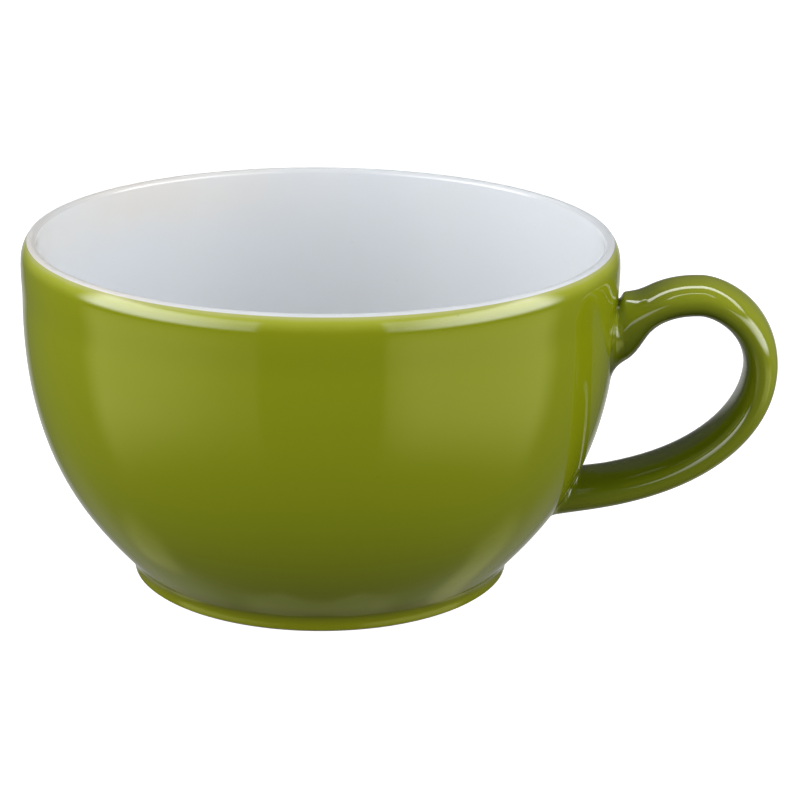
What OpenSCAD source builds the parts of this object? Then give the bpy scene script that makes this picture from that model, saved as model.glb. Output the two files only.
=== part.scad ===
// Cappuccino cup: a turned bowl on a low foot ring, with a cast strap handle.
// Millimetres. The origin is on the turned axis at the resting plane, +Z is up
// and +X points to the handle. Every outline is the finished, glazed surface,
// and the clay lies one coat inside it.

/* [Bowl] */
// Height where the outside wall starts to round over into the shoulder
rim_h = 58.2; // [55:0.1:64]
// Outside radius of the wall at that height
rim_r = 52.46; // [50:0.02:56]
// Radius of the shoulder that rounds the rim over on its outside
shoulder_r = 5.4; // [4:0.1:6.5]
// Radius of the narrow rounded lip on top of the shoulder
lip_round_r = 0.95; // [0.8:0.05:1.3]
// Where the shoulder ends and the lip starts, in degrees above level
lip_edge_angle = 37; // [30:0.5:45]
// How far the rim turns out past the wall's own curve
rim_flare_w = 0.45; // [0:0.05:0.9]
// Height over which the rim turns out
rim_flare_h = 7.4; // [6:0.1:12]
// How far the upper wall's curve reaches outwards
belly_w = 2.9; // [1.5:0.05:4.5]
// How far down the upper wall's curve keeps its direction
belly_h = 34.8; // [29:0.1:40]
// Radius where the wall tucks in to the foot
tuck_r = 34.6; // [32:0.1:37]
// Height where the wall tucks in to the foot
tuck_h = 3.25; // [2.8:0.05:5]
// Length over which the lower wall keeps its slope
tuck_l = 10.5; // [8:0.1:14]
// Slope of the lower wall, from level
tuck_slope = 50.2; // [44:0.1:56]

/* [Inside] */
// Height of the inside floor above the resting plane
floor_h = 7.4; // [6.6:0.1:9]
// How far the inside wall's curve reaches outwards
inner_w = 2.5; // [1.5:0.1:3]
// How far down the inside wall's curve keeps its direction
inner_h = 37.8; // [34:0.2:40]
// Half width over which the floor stays nearly level
floor_half_w = 39; // [32:0.5:40]

/* [Foot] */
// Radius of the cove between the wall and the foot
cove_r = 3.4; // [2.6:0.1:4]
// Width of the foot ring at its resting face
foot_w = 4.4; // [3:0.1:6]
// Radius of the edges of the resting face, where the glaze stops
foot_edge_r = 0.3; // [0.2:0.05:0.6]

/* [Handle] */
// Width of the strap, across the cup's side
strap_w = 14.7; // [12:0.1:17]
// How deep the upper root's middle line starts inside the wall
root_sink_l = 0.5; // [0:0.1:2]
// How far the upper root's middle lies below the rim
root_drop_h = 12.2; // [11.4:0.05:13]
// Slope of the strap's middle as it leaves the upper root, from level
root_slope = -32.3; // [-40:0.1:-25]
// How far the crest stands out past the rim
crest_out_l = 14.2; // [12:0.1:18]
// How far the strap's middle lies below the rim at the crest
crest_drop_h = 5.5; // [3:0.1:8]
// How far the strap's middle stands out past the rim where it is farthest out
far_out_l = 25.3; // [22:0.1:31]
// How far that point lies below the rim
far_drop_h = 18.4; // [16:0.1:21]
// How deep the tail's middle line ends inside the wall
tail_sink_l = 4.9; // [4:0.1:6]
// Height of the tail's middle
tail_z = 15.3; // [14:0.05:17]
// Slope of the tail, from level
tail_slope = 2; // [0:0.1:6]
// Thickness of the strap at the crest and at its farthest point
strap_t = 6; // [5:0.05:7]
// Thickness of the strap before its upper root spreads
neck_t = 6.4; // [5.8:0.05:6.8]
// Thickness of the tail
tail_t = 5.85; // [5:0.05:6.5]
// How much thicker the upper root spreads
root_spread_t = 4.6; // [3.6:0.05:5.4]
// How much thicker the tail spreads
tail_spread_t = 1.25; // [0:0.05:2.5]
// Radius of the slip fillet over the upper root
root_slip_top_r = 1.2; // [0.8:0.05:1.6]
// Radius of the slip fillets at the sides of the upper root
root_slip_side_r = 2.4; // [1.8:0.05:2.8]
// Radius of the slip fillet under the upper root
root_slip_under_r = 1.85; // [1.2:0.05:2.2]
// Radius of the slip fillet over the tail
tail_slip_top_r = 0.8; // [0.6:0.05:1]
// Radius of the slip fillets at the sides of the tail
tail_slip_side_r = 1.4; // [1:0.05:1.8]
// Radius of the slip fillet under the tail
tail_slip_under_r = 0.85; // [0.6:0.05:1.4]

/* [Glaze] */
// Thickness of the coats of glaze
glaze_t = 0.25; // [0.2:0.01:0.35]

/* [Hidden] */
green = "#8c9923";
white = "#e6e8ea";
bare_clay = "#d9d3c4";

// How far a cutter runs past the face that it cuts
overrun = 1;
// How long the strap keeps its direction before and after each point, as a share
// of the distance to the next point: out along X, or down along Z
root_hold_share = 0.176;
crest_hold_in_share = 0.721;
crest_hold_out_share = 0.325;
far_hold_in_share = 0.71;
far_hold_out_share = 0.468;
tail_hold_share = 0.642;
// Where along the root's stretch the spread ends, and along the tail's it starts
root_spread_share = 0.652;
tail_spread_share = 0.36;
// Where the cast handle ends and the slip takes over, along the first and last stretch
root_seat_share = 0.271;
tail_seat_share = 0.876;
// Roundness of the strap's section: 2 is an ellipse, more is fuller at the corners
strap_fullness_share = 2.3;
// The longest stretch that a slip fillet takes up, of the way from the strap to the wall
slip_stretch_share = 0.85;
// How far along the strap its own direction is taken, where the slip starts
slip_slope_share = 0.01;
// A small step along a curve, to find its direction
slope_step_share = 0.001;

// Steps along each curve
wall_steps = 26;
inner_steps = 22;
lip_steps = 8;
cove_steps = 5;
strap_steps = 13;
strap_sides = 24;
slip_steps = 5;
$fn = 240;

// Curves
function curve(p, t) =
  pow(1 - t, 3) * p[0] + 3 * pow(1 - t, 2) * t * p[1]
  + 3 * (1 - t) * t * t * p[2] + pow(t, 3) * p[3];
function clamp01(s) = min(1, max(0, s));
function ease(s) = s * s * (3 - 2 * s);
function unit(v) = v / norm(v);
function polar(r, angle) = [r * cos(angle), r * sin(angle)];
function steps(n) = [for (i = [0 : n]) i / n];
function reversed(p) = [for (i = [len(p) - 1 : -1 : 0]) p[i]];
function arc(centre, r, from, to, n) =
  [for (s = steps(n)) centre + polar(r, from + (to - from) * s)];

// The outside wall, from the shoulder down to where it tucks in
wall_curve = [
  [rim_r - rim_flare_w, rim_h],
  [rim_r - rim_flare_w + belly_w, rim_h - belly_h],
  [tuck_r, tuck_h] + polar(tuck_l, tuck_slope),
  [tuck_r, tuck_h]
];
function wall_at(t) =
  let (p = curve(wall_curve, t), s = clamp01(1 - (rim_h - p[1]) / rim_flare_h))
  p + [rim_flare_w * ease(s), 0];
function wall_normal(t) =
  let (d = wall_at(t + slope_step_share) - wall_at(t - slope_step_share))
  unit([-d[1], d[0]]);
function wall_line(depth) =
  [for (t = steps(wall_steps)) wall_at(t) - depth * wall_normal(t)];

// The shoulder, and the lip on top of it
shoulder_angle = atan2(wall_normal(0)[1], wall_normal(0)[0]);
shoulder_centre = wall_at(0) - shoulder_r * wall_normal(0);
lip_centre = shoulder_centre + polar(shoulder_r - lip_round_r, lip_edge_angle);
function shoulder_line(depth) =
  arc(shoulder_centre, shoulder_r - depth, lip_edge_angle, shoulder_angle, lip_steps);
function lip_line(depth) =
  arc(lip_centre, lip_round_r - depth, 180, lip_edge_angle, lip_steps);

// The whole outside, from the lip's edge down
function outside_line(depth) =
  concat(shoulder_line(depth), [for (i = [1 : wall_steps]) wall_line(depth)[i]]);

// The inside, from the lip down to the middle of the floor
inner_curve = [
  lip_centre - [lip_round_r, 0],
  lip_centre - [lip_round_r - inner_w, inner_h],
  [floor_half_w, floor_h],
  [0, floor_h]
];
function inner_at(t) = curve(inner_curve, t);
function inner_normal(t) =
  let (d = inner_at(t + slope_step_share) - inner_at(t - slope_step_share))
  unit([-d[1], d[0]]);
function inner_line(depth) = [
  for (t = steps(inner_steps))
    let (p = inner_at(t) + depth * inner_normal(t)) [max(0, p[0]), p[1]]
];

// The foot: a cove, a short upright wall and a flat resting face
cove_centre = wall_at(1) + cove_r * wall_normal(1);
cove_angle = atan2(-wall_normal(1)[1], -wall_normal(1)[0]);
foot_r = cove_centre[0] - cove_r;
clay_foot_r = foot_r - glaze_t;
foot_inner_r = clay_foot_r - foot_w;
base_z = (wall_at(1) - glaze_t * wall_normal(1))[1];
function cove_line(depth) =
  arc(cove_centre, cove_r + depth, cove_angle, 180, cove_steps);

// Radius of the glazed outside at a height, on the facets that it is turned with
wall_radius = [
  for (p = concat(reversed(wall_line(0)), [for (i = [lip_steps - 1 : -1 : 0]) shoulder_line(0)[i]]))
    [p[1], p[0]]
];

// The strap's root, crest, farthest point and tail, in the plane of the handle
root = [lookup(rim_h - root_drop_h, wall_radius) - root_sink_l, rim_h - root_drop_h];
crest = [rim_r + crest_out_l, rim_h - crest_drop_h];
far = [rim_r + far_out_l, rim_h - far_drop_h];
tail = [lookup(tail_z, wall_radius) - tail_sink_l, tail_z];

// The strap's middle line
root_curve = [
  root,
  root + polar(root_hold_share * (crest[0] - root[0]), root_slope),
  crest - [crest_hold_in_share * (crest[0] - root[0]), 0],
  crest
];
far_curve = [
  crest,
  crest + [crest_hold_out_share * (far[0] - crest[0]), 0],
  far + [0, far_hold_in_share * (crest[1] - far[1])],
  far
];
tail_curve = [
  far,
  far - [0, far_hold_out_share * (far[1] - tail[1])],
  tail + polar(tail_hold_share * (far[0] - tail[0]), tail_slope),
  tail
];
// A place s runs from 0 at the root to 1 at the crest, 2 farthest out and 3 at the tail
function strap_at(s) =
  s < 1 ? curve(root_curve, s) : s < 2 ? curve(far_curve, s - 1) : curve(tail_curve, s - 2);
// Sections stand upright at the root, and turn square to the line on the way to the crest
function strap_normal(s) =
  let (
    d = strap_at(s + slope_step_share) - strap_at(s - slope_step_share),
    lean = atan2(d[1], d[0]) * ease(min(1, s))
  )
  polar(1, 90 + lean);
function strap_half_t(s) =
  let (
    k = min(2, floor(s)),
    knots = [neck_t, strap_t, strap_t, tail_t] / 2,
    plain = knots[k] + (knots[k + 1] - knots[k]) * ease(s - k),
    way = clamp01((s - root_seat_share) / (root_spread_share - root_seat_share)),
    at_root = root_spread_t / 2 * (1 - ease(way)),
    at_tail = tail_spread_t / 2 * pow(clamp01((s - 3 + tail_spread_share) / tail_spread_share), 2)
  )
  plain + at_root + at_tail;

// One section of the strap, a full oval
function oval(angle) =
  let (c = cos(angle), d = sin(angle), e = 2 / strap_fullness_share)
  [sign(c) * pow(abs(c), e), sign(d) * pow(abs(d), e)];
function strap_ring(s, depth) =
  let (m = strap_at(s), n = strap_normal(s), t = strap_half_t(s) - depth, w = strap_w / 2 - depth)
  [
    for (i = [0 : strap_sides - 1])
      let (o = oval(i * 360 / strap_sides))
      [m[0] + t * o[0] * n[0], w * o[1], m[1] + t * o[0] * n[1]]
  ];

// The same section's outward directions, seen square to the wall
function strap_out(s) = [
  for (i = [0 : strap_sides - 1])
    let (o = [cos(i * 360 / strap_sides), sin(i * 360 / strap_sides)])
    unit([o[1], o[0] * sign(strap_normal(s)[1])])
];

// The point of the glazed wall at a side distance and a height
function on_wall(p) = [sqrt(pow(lookup(p[1], wall_radius), 2) - p[0] * p[0]), p[0], p[1]];
// Where a line from the point p in the direction d meets the wall, in a few tries
function meet_wall(p, d, tries) =
  tries == 0 ? on_wall([p[1], p[2]])
  : let (gap = p[0] - on_wall([p[1], p[2]])[0]) meet_wall(p - gap / d[0] * d, d, tries - 1);
// One line of a slip fillet: straight on from the strap, then round on to the wall.
// The point p is on the strap where the slip starts, and q a little before it.
function slip_points(p, q, out, radii, depth) =
  let (
    ahead = unit(p - q),
    corner = meet_wall(p, ahead, 3),
    r = (out[1] > 0 ? radii[0] : radii[2]) * out[1] * out[1] + radii[1] * out[0] * out[0] - depth,
    start = corner - min(r, slip_stretch_share * norm(corner - p)) * ahead,
    end = on_wall([corner[1], corner[2]] + r * out)
  )
  [for (t = steps(slip_steps)) pow(1 - t, 2) * start + 2 * t * (1 - t) * corner + t * t * end];

// Rings of a slip fillet, from a strap section to the wall, and one inside the wall
root_radii = [root_slip_top_r, root_slip_side_r, root_slip_under_r];
tail_radii = [tail_slip_top_r, tail_slip_side_r, tail_slip_under_r];
function slip_rings(s, depth) =
  let (
    at_root = s < 1,
    ring = strap_ring(s, depth),
    before = strap_ring(s + (at_root ? slip_slope_share : -slip_slope_share), depth),
    out = strap_out(s),
    radii = at_root ? root_radii : tail_radii,
    lines = [
      for (i = [0 : strap_sides - 1]) slip_points(ring[i], before[i], out[i], radii, depth)
    ]
  )
  concat([ring], [for (k = [0 : slip_steps]) [for (line = lines) line[k]]]);
function last_ring(rings) = rings[len(rings) - 1];
function sunk_ring(rings, x) = [for (p = last_ring(rings)) [x, p[1], p[2]]];
function proud_ring(rings) = [for (p = last_ring(rings)) p + [overrun, 0, 0]];

root_seat = root_seat_share;
tail_seat = 2 + tail_seat_share;
root_sunk_x = root[0] - lip_round_r;
tail_sunk_x = tail[0] - tail_t;
function strap_rings(depth) = [
  for (s = steps(3 * strap_steps)) strap_ring(root_seat + (tail_seat - root_seat) * s, depth)
];
function whole_rings(depth) =
  let (strap = strap_rings(depth))
  concat(
    reversed(slip_rings(root_seat, depth)),
    [for (i = [1 : len(strap) - 2]) strap[i]],
    slip_rings(tail_seat, depth)
  );

// Triangles of a skin through rings, numbered from a first point on
function skin_faces(rings, first, flip) = [
  for (k = [0 : len(rings) - 2], i = [0 : strap_sides - 1], half = [0, 1])
    let (
      a = first + k * strap_sides + i,
      b = first + k * strap_sides + (i + 1) % strap_sides,
      c = a + strap_sides,
      d = b + strap_sides,
      face = half == 0 ? [a, b, d] : [a, d, c]
    )
    flip ? reversed(face) : face
];
function points_of(rings) = [for (ring = rings, p = ring) p];

// A closed solid through rings, with a flat cap at both ends
module swept(rings) {
  last = (len(rings) - 1) * strap_sides;
  caps = [
    [for (i = [strap_sides - 1 : -1 : 0]) i],
    [for (i = [0 : strap_sides - 1]) last + i]
  ];
  polyhedron(points_of(rings), concat(skin_faces(rings, 0, false), caps), convexity = 6);
}

// A tube between outer rings and inner rings, closed at both ends
module swept_tube(outer, inner) {
  shift = len(outer) * strap_sides;
  last = (len(outer) - 1) * strap_sides;
  ends = [
    for (i = [0 : strap_sides - 1], end = [0, last], half = [0, 1])
      let (
        j = (i + 1) % strap_sides,
        face = half == 0 ? [end + i, shift + end + i, shift + end + j]
                         : [end + i, shift + end + j, end + j]
      )
      end == 0 ? face : reversed(face)
  ];
  polyhedron(
    concat(points_of(outer), points_of(inner)),
    concat(skin_faces(outer, 0, false), skin_faces(inner, shift, true), ends),
    convexity = 8
  );
}

// The bowl's clay as a filled form, to cut what seats on it
module filled_bowl() {
  rotate_extrude()
    polygon(concat([[0, base_z], [0, shoulder_line(glaze_t)[0][1]]], outside_line(glaze_t)));
}

module root_slip() {
  rings = slip_rings(root_seat, glaze_t);
  swept(reversed(concat(rings, [sunk_ring(rings, root_sunk_x)])));
}

module tail_slip() {
  rings = slip_rings(tail_seat, glaze_t);
  swept(concat(rings, [sunk_ring(rings, tail_sunk_x)]));
}

// The holes in the wall's coat that the slip passes through
module root_hole() {
  rings = slip_rings(root_seat, glaze_t);
  swept([sunk_ring(rings, root_sunk_x), proud_ring(rings)]);
}

module tail_hole() {
  rings = slip_rings(tail_seat, glaze_t);
  swept([proud_ring(rings), sunk_ring(rings, tail_sunk_x)]);
}

module bowl() {
  color(bare_clay)
    rotate_extrude()
      polygon(concat(
        lip_line(glaze_t),
        [for (i = [1 : lip_steps + wall_steps]) outside_line(glaze_t)[i]],
        [[0, base_z]],
        reversed([for (i = [1 : inner_steps]) inner_line(glaze_t)[i]])
      ));
}

module foot_ring() {
  color(bare_clay)
    rotate_extrude()
      polygon(concat(
        cove_line(glaze_t),
        arc([clay_foot_r, 0] + foot_edge_r * [-1, 1], foot_edge_r, 0, -90, cove_steps),
        arc([foot_inner_r, 0] + foot_edge_r * [1, 1], foot_edge_r, 270, 180, cove_steps),
        [[foot_inner_r, base_z]]
      ));
}

module handle() {
  color(bare_clay)
    swept(strap_rings(glaze_t));
}

module upper_slip_joint() {
  color(bare_clay)
    difference() {
      root_slip();
      filled_bowl();
    }
}

module lower_slip_joint() {
  color(bare_clay)
    difference() {
      tail_slip();
      filled_bowl();
    }
}

module bowl_glaze() {
  color(green)
    difference() {
      rotate_extrude()
        polygon(concat(
          outside_line(0),
          reversed(outside_line(glaze_t))
        ));
      root_hole();
      tail_hole();
    }
}

module foot_glaze() {
  color(green)
    rotate_extrude()
      polygon(concat(
        cove_line(0),
        [[foot_r, foot_edge_r], [clay_foot_r, foot_edge_r]],
        reversed(cove_line(glaze_t))
      ));
}

module handle_glaze() {
  color(green)
    swept_tube(whole_rings(0), whole_rings(glaze_t));
}

module liner_glaze() {
  color(white)
    rotate_extrude()
      polygon(concat(
        reversed(lip_line(0)),
        [for (i = [1 : inner_steps]) inner_line(0)[i]],
        reversed([for (i = [1 : inner_steps]) inner_line(glaze_t)[i]]),
        lip_line(glaze_t)
      ));
}

module base_glaze() {
  color(white)
    rotate_extrude()
      polygon([
        [0, base_z],
        [foot_inner_r, base_z],
        [foot_inner_r, foot_edge_r],
        [foot_inner_r - glaze_t, foot_edge_r],
        [foot_inner_r - glaze_t, base_z - glaze_t],
        [0, base_z - glaze_t]
      ]);
}

bowl();
foot_ring();
handle();
upper_slip_joint();
lower_slip_joint();
bowl_glaze();
foot_glaze();
handle_glaze();
liner_glaze();
base_glaze();
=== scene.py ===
import math

import bmesh
import bpy
import numpy as np
from mathutils import Matrix, Vector


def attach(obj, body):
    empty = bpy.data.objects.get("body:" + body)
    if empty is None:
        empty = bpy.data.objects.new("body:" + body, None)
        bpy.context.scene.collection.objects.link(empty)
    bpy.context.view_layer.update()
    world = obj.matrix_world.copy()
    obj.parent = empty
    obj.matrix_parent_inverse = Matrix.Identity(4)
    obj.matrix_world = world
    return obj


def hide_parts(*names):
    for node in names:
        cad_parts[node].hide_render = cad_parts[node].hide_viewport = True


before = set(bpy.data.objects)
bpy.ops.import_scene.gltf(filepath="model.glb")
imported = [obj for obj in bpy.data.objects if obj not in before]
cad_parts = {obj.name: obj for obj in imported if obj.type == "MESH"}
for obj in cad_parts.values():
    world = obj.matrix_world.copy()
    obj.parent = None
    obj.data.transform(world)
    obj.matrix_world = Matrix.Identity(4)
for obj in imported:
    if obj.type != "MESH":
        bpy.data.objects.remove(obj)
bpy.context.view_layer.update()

bl_info = {
    "name": "Cappuccino cup",
    "version": (1, 0, 0),
    "blender": (4, 5, 0),
    "location": "3D View > Sidebar > Cup",
    "description": "Glazed cappuccino cup with a strap handle, dressed around its frame",
    "category": "Object",
}

MM = 0.001
ON_AXIS = 1e-6


def length(name, description, default, **more):
    """A size in metres, given here in millimetres."""
    return bpy.props.FloatProperty(
        name=name, description=description, default=default * MM, unit="LENGTH", precision=5, **more)


def angle(name, description, default):
    """An angle, given here in degrees."""
    return bpy.props.FloatProperty(
        name=name, description=description, default=math.radians(default), subtype="ANGLE")


def share(name, description, default):
    """A plain factor."""
    return bpy.props.FloatProperty(name=name, description=description, default=default, precision=4)


def colour(name, description, default):
    """A colour in linear light."""
    return bpy.props.FloatVectorProperty(
        name=name, description=description, default=default, subtype="COLOR", size=3, min=0, max=1)


class BowlSizes(bpy.types.PropertyGroup):
    rim_h: length("Rim height", "Height where the wall rounds over into the shoulder", 58.2)
    rim_r: length("Rim radius", "Outside radius at the rim height", 52.46)
    shoulder_r: length("Shoulder radius", "Radius that rounds the rim over on its outside", 5.4)
    lip_round_r: length("Lip radius", "Radius of the narrow lip on top of the shoulder", 0.95)
    lip_edge_angle: angle("Lip edge", "Where the shoulder ends and the lip starts, above level", 37)
    rim_flare_w: length("Rim flare", "How far the rim turns out past the wall's curve", 0.45)
    rim_flare_h: length("Flare height", "Height over which the rim turns out", 7.4)
    belly_w: length("Belly width", "How far the upper curve reaches outwards", 2.9)
    belly_h: length("Belly height", "How far down the upper curve keeps its direction", 34.8)
    tuck_r: length("Tuck radius", "Radius where the wall tucks in to the foot", 34.6)
    tuck_h: length("Tuck height", "Height where the wall tucks in to the foot", 3.25)
    tuck_l: length("Tuck length", "Length over which the lower wall keeps its slope", 10.5)
    tuck_slope: angle("Tuck slope", "Slope of the lower wall from level", 50.2)
    floor_h: length("Floor height", "Height of the inside floor", 7.4)
    inner_w: length("Inner width", "How far the inside curve reaches outwards", 2.5)
    inner_h: length("Inner height", "How far down the inside curve keeps its direction", 37.8)
    floor_half_w: length("Floor half width", "Half width of the nearly level floor", 39)
    cove_r: length("Cove radius", "Radius between the wall and the foot", 3.4)
    foot_w: length("Foot width", "Width of the foot ring at its resting face", 4.4)
    foot_edge_r: length("Foot edge", "Radius of the edges of the resting face", 0.3)
    glaze_t: length("Glaze thickness", "Thickness of the coats of glaze", 0.25)


class HandleSizes(bpy.types.PropertyGroup):
    strap_w: length("Strap width", "Width of the strap across the cup's side", 14.7)
    root_sink_l: length("Root sink", "How deep the root's middle line starts inside the wall", 0.5)
    root_drop_h: length("Root drop", "How far the root's middle lies below the rim", 12.2)
    root_slope: angle("Root slope", "Slope of the middle line at the root", -32.3)
    crest_out_l: length("Crest distance", "How far the crest stands out past the rim", 14.2)
    crest_drop_h: length("Crest drop", "How far the middle lies below the rim at the crest", 5.5)
    far_out_l: length("Reach", "How far the middle stands out past the rim where it is farthest", 25.3)
    far_drop_h: length("Far drop", "How far that point lies below the rim", 18.4)
    tail_sink_l: length("Tail sink", "How deep the tail's middle line ends inside the wall", 4.9)
    tail_z: length("Tail height", "Height of the tail's middle", 15.3)
    tail_slope: angle("Tail slope", "Slope of the tail from level", 2)
    strap_t: length("Strap thickness", "Thickness at the crest and at the farthest point", 6)
    neck_t: length("Neck thickness", "Thickness of the strap before its root spreads", 6.4)
    tail_t: length("Tail thickness", "Thickness of the tail", 5.85)
    root_spread_t: length("Root spread", "How much thicker the root spreads", 4.6)
    tail_spread_t: length("Tail spread", "How much thicker the tail spreads", 1.25)
    root_slip_top_r: length("Root slip top", "Radius of the slip fillet over the upper root", 1.2)
    root_slip_side_r: length("Root slip side", "Radius of the slip fillets at its sides", 2.4)
    root_slip_under_r: length("Root slip under", "Radius of the slip fillet under it", 1.85)
    tail_slip_top_r: length("Tail slip top", "Radius of the slip fillet over the tail", 0.8)
    tail_slip_side_r: length("Tail slip side", "Radius of the slip fillets at its sides", 1.4)
    tail_slip_under_r: length("Tail slip under", "Radius of the slip fillet under it", 0.85)
    root_hold: share("Root hold", "How long the line keeps its slope at the root", 0.176)
    crest_hold_in: share("Crest hold in", "How long it runs level before the crest", 0.721)
    crest_hold_out: share("Crest hold out", "How long it runs level after the crest", 0.325)
    far_hold_in: share("Far hold in", "How long it runs upright above the farthest point", 0.71)
    far_hold_out: share("Far hold out", "How long it runs upright below the farthest point", 0.468)
    tail_hold: share("Tail hold", "How long it keeps its slope at the tail", 0.642)
    root_spread_share: share("Root spread share", "Where along its stretch the root's spread ends", 0.652)
    tail_spread_share: share("Tail spread share", "Over how much of its stretch the tail spreads", 0.36)
    root_seat: share("Root seat", "Where along its stretch the strap meets the root's slip", 0.271)
    tail_seat: share("Tail seat", "Where along its stretch the strap meets the tail's slip", 0.876)
    slip_stretch: share("Slip stretch", "The most that a slip fillet takes of the way to the wall", 0.85)
    fullness: share("Fullness", "Roundness of the section: 2 is an ellipse, more is fuller", 2.3)


class GlazeLooks(bpy.types.PropertyGroup):
    green: colour("Green", "The green glaze at its full thickness", (0.283, 0.33, 0.006))
    # Also laid over the strap's outer side as painted light
    green_thin: colour("Thin green", "The green glaze where it thins out", (0.504, 0.560, 0.060))
    # Painted shade: a darker green painted on the strap's inner side, where the bowl shades it
    green_painted_shade: colour("Deep green", "The green glaze on the inner side of the strap", (0.055, 0.08, 0.001))
    # A darker green, laid over a band just above the foot and used for the glaze's clouds and specks
    green_dark: colour("Pooled green", "The green glaze where it pools", (0.22, 0.242, 0.004))
    cream: colour("Cream", "The green glaze at its very edge, where clay shows through", (0.58, 0.6, 0.22))
    white: colour("White", "The white glaze", (0.785, 0.825, 0.87))
    # Warm white: faint clouds all over the white glaze, stronger on the left of the inside below the lip
    white_warm: colour("Warm white", "The white glaze where clay shows through it", (0.85, 0.74, 0.6))
    clay: colour("Clay", "Bare fired clay", (0.70, 0.64, 0.54))
    clay_dark: colour("Dark clay", "Bare clay where it is rubbed", (0.50, 0.44, 0.36))
    gloss_rough: share("Gloss roughness", "Roughness of the glazes", 0.045)
    lip_rough: share("Lip roughness", "Roughness of the thin white glaze on the lip", 0.5)
    clay_rough: share("Clay roughness", "Roughness of the bare clay", 0.85)
    # The warm clouds on the left of the inside, below the lip
    warm_cloud: share("Stain", "Strength of the warm clouds below the lip", 0.55)
    thin_h: length("Thin band", "Height below the green's upper edge over which it thins out", 2.6)
    cream_h: length("Cream band", "Height below the green's upper edge over which it turns to cream", 0.8)
    # The band just above the foot over which the green turns darker
    dark_band_h: length("Pool band", "Height over which the green pools above the foot", 3)
    dull_lip_h: length("Dull lip", "Height below the lip's top over which the white glaze dulls", 0.8)
    warm_cloud_h: length("Stain height", "How far below the lip's top the warm clouds begin", 14)


class StageSettings(bpy.types.PropertyGroup):
    camera_distance: length("Camera distance", "Level distance of the camera from the axis", 427.1)
    camera_height: length("Camera height", "Height of the camera above the resting plane", 172.1)
    camera_turn: angle("Camera turn", "How far the camera stands round towards the handle", 6.88)
    camera_pitch: angle("Camera pitch", "How far the camera looks down", 18.32)
    camera_yaw: angle("Camera yaw", "How far the camera looks past the axis", 1.90)
    camera_roll: angle("Camera roll", "How far the camera is rolled", 0.81)
    lens: bpy.props.FloatProperty(name="Lens", description="Focal length", default=112.72, unit="CAMERA")
    box_power: share("Soft box power", "Power of the left soft box; the right one is as bright", 12.2)
    box_distance: length("Soft box distance", "How far the soft boxes stand off", 900)
    box_height: length("Soft box height", "Height of the soft boxes", 750)
    box_rise: angle("Soft box rise", "How high the soft boxes stand", 27)
    left_box_width: length("Left box width", "Width of the left soft box", 2000)
    left_box_turn: angle("Left box turn", "How far round from the front the left soft box stands", 70)
    right_box_width: length("Right box width", "Width of the right soft box", 1500)
    right_box_turn: angle("Right box turn", "How far round from the front the right soft box stands", 67)
    dim: share("Dim", "How bright the room is that the glaze mirrors", 0.13)
    screen_glow: share("Screen glow", "How bright the screens are in the glaze", 7.4)
    ground_glow: share("Ground glow", "How bright the ground before the screens is in the glaze", 1.3)
    backdrop_glow: share("Backdrop glow", "How bright the backdrop is in the glaze", 0.4)
    floor_glow: share("Floor glow", "How bright the ground behind the cup is in the glaze", 0.22)
    stripe_glow: share("Stripe glow", "How bright the ground beside the cup is in the glaze", 0.28)
    line_glow: share("Line glow", "How bright the ground close behind the cup is in the glaze", 0.22)
    strip_glow: share("Strip glow", "How bright the strips high up behind are in the glaze", 5)
    sky: share("Sky", "Strength of the even light from above", 0.065)
    ground: share("Ground", "Strength of the even light from below", 0.09)
    floor_light: share("Floor light", "How bright the floor is by itself", 0.93)


def settings():
    """The cup's property groups, held by the scene."""
    scene = bpy.context.scene
    return scene.cup_bowl, scene.cup_handle, scene.cup_looks, scene.cup_stage


# Curves and outlines


def bezier(points, t):
    """Points of a cubic curve at the places t."""
    p = np.asarray(points, float)
    t = np.asarray(t, float)[..., None]
    return (1 - t) ** 3 * p[0] + 3 * (1 - t) ** 2 * t * p[1] + 3 * (1 - t) * t ** 2 * p[2] + t ** 3 * p[3]


def ease(s):
    """A smooth step from 0 to 1."""
    s = np.clip(s, 0, 1)
    return s * s * (3 - 2 * s)


def polar(r, a):
    """The point at a distance and an angle."""
    return np.array([r * math.cos(a), r * math.sin(a)])


def arc(centre, r, start, end, count):
    """Points of a circle from one angle to another."""
    a = np.linspace(start, end, count)
    return np.asarray(centre) + r * np.stack([np.cos(a), np.sin(a)], -1)


def line_normals(points):
    """Unit normals of an outline that runs downwards on its outer side."""
    d = np.gradient(points, axis=0)
    n = np.stack([-d[:, 1], d[:, 0]], -1)
    return n / np.linalg.norm(n, axis=1)[:, None]


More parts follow.
